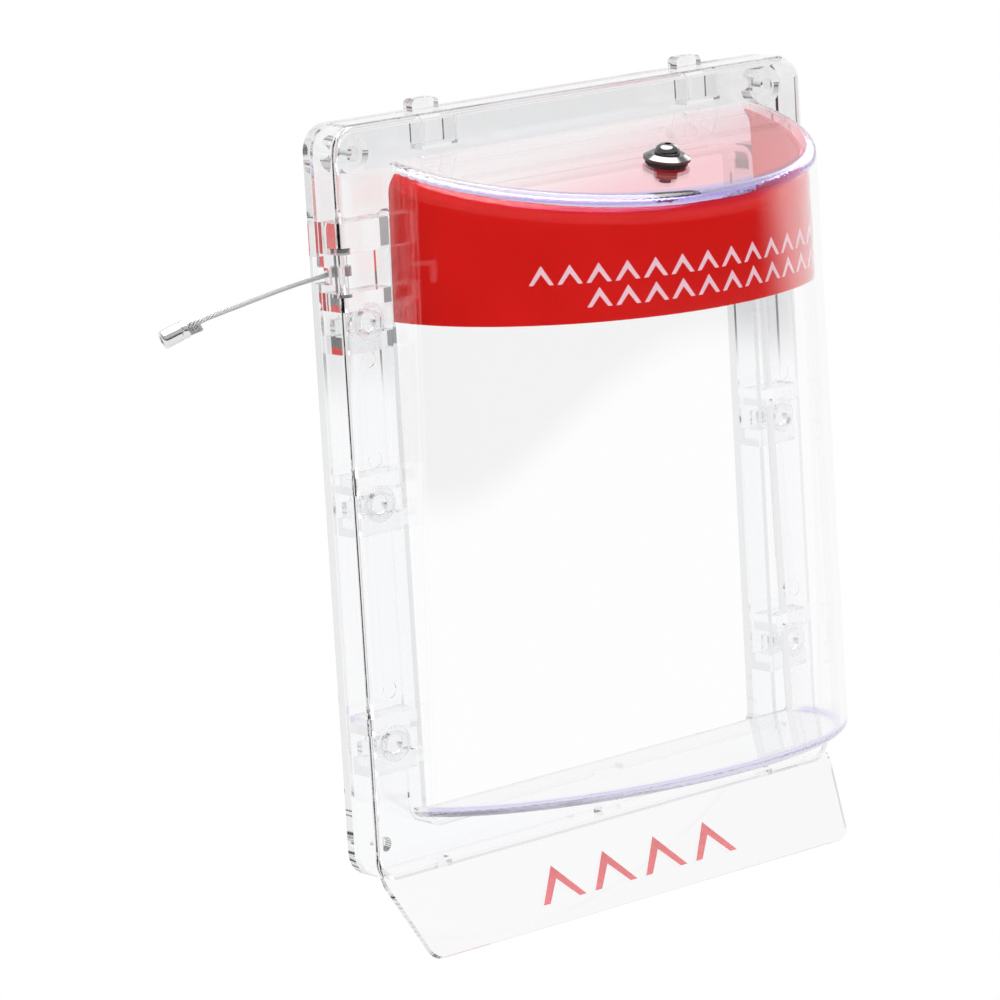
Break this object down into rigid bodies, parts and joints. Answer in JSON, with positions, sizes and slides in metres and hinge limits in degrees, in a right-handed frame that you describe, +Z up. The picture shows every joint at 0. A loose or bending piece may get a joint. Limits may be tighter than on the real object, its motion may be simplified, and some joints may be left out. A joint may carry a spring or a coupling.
{
  "type": "fire alarm protective cover",
  "caption": "Clear wall-hung cover for a manual fire alarm point: a plate and window ring carry a lift-off half-round dome with a red band, a lift tab and a tethered cable.",
  "frame": {"origin": "centre of the four wall screw holes, on the back plate's wall face", "axes": "+Z up, +X to the viewer's right, +Y into the wall"},
  "size_m": [0.271, 0.0898, 0.2785],
  "materials": {
    "clear_cover": "gloss, clear",
    "clear_frame": "gloss, clear",
    "red_plastic": "gloss",
    "black_rubber": "satin",
    "plated_steel": "polished",
    "steel_cable": "stranded wire",
    "aluminium_sleeve": "polished"
  },
  "bodies": {
    "frame": {"back_plate": "clear_frame", "window_ring": "clear_frame"},
    "cover": {"cover_shell": "clear_cover", "red_band": "red_plastic", "seal_washer": "black_rubber", "cup_washer": "plated_steel", "crown_screw": "plated_steel", "inner_washer": "plated_steel", "crown_nut": "plated_steel", "anchor_pin": "plated_steel", "cable_eye": "plated_steel", "tether_cable": "steel_cable", "cable_tail": "steel_cable", "end_sleeve": "aluminium_sleeve", "left_low_peg": "clear_cover", "left_middle_peg": "clear_cover", "left_top_peg": "clear_cover", "right_low_peg": "clear_cover", "right_middle_peg": "clear_cover", "right_top_peg": "clear_cover"}
  },
  "joints": [
    {"name": "cover_lift", "type": "slide", "parent": "frame", "child": "cover", "axis": [0, 0, 1], "range_m": [0, 0.0055]}
  ]
}
